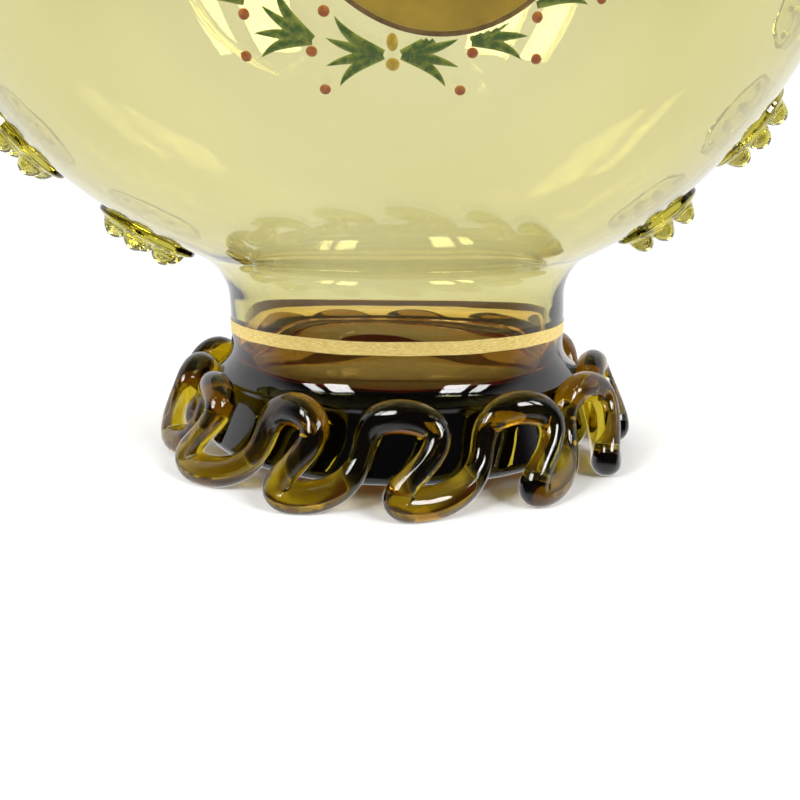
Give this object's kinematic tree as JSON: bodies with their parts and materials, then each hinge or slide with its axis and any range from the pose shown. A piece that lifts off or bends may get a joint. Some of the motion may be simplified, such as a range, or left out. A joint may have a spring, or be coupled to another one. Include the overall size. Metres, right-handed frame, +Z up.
{
  "type": "jug",
  "caption": "Globular blown-glass jug with narrow stem, dark foot pad, wavy glass foot rope, raspberry prunts, gilt lines, enamelled garland and drawn handle.",
  "frame": {"origin": "middle of the bottom face of the bounding box, on the surface that the jug stands on", "axes": "+Z up, the front with the garland towards -Y, the handle towards +X and the spout towards -X"},
  "size_m": [0.1988, 0.1804, 0.2637],
  "materials": {
    "bowl_glass": "blown, pale straw-olive, clear, with small seeds",
    "handle_glass": "drawn, olive, clear",
    "prunt_glass": "pressed, olive-yellow, clear",
    "pad_glass": "solid, near-black amber brown, glossy",
    "rope_glass": "drawn, olive-amber, clear where thin",
    "gilding": "fired gold, matt, finely scratched",
    "green_enamel": "fired enamel, satin, brushed",
    "red_enamel": "fired enamel, satin",
    "yellow_enamel": "fired enamel, satin",
    "amber_enamel": "fired translucent stain, glossy",
    "brown_enamel": "fired enamel outline, satin"
  },
  "bodies": {
    "root": {"berry_1_1": "red_enamel", "berry_1_2": "red_enamel", "berry_1_3": "red_enamel", "berry_2_1": "red_enamel", "berry_2_2": "red_enamel", "berry_2_3": "red_enamel", "berry_3_1": "red_enamel", "berry_3_2": "red_enamel", "berry_3_3": "red_enamel", "berry_4_1": "red_enamel", "berry_4_2": "red_enamel", "berry_5_1": "red_enamel", "berry_5_2": "red_enamel", "berry_6_1": "red_enamel", "berry_6_2": "red_enamel", "body": "bowl_glass", "foot_gilt_line": "gilding", "foot_pad": "pad_glass", "foot_rope": "rope_glass", "garland_dot_1": "yellow_enamel", "garland_dot_2": "yellow_enamel", "handle": "handle_glass", "leaf_spray_1": "green_enamel", "leaf_spray_2": "green_enamel", "leaf_spray_3": "green_enamel", "leaf_spray_4": "green_enamel", "leaf_spray_5": "green_enamel", "leaf_spray_6": "green_enamel", "medallion": "amber_enamel", "medallion_line": "brown_enamel", "prunt_left_1": "prunt_glass", "prunt_left_2": "prunt_glass", "prunt_left_3": "prunt_glass", "prunt_right_1": "prunt_glass", "prunt_right_2": "prunt_glass", "prunt_right_3": "prunt_glass", "rim_gilt_line": "gilding"}
  },
  "joints": []
}
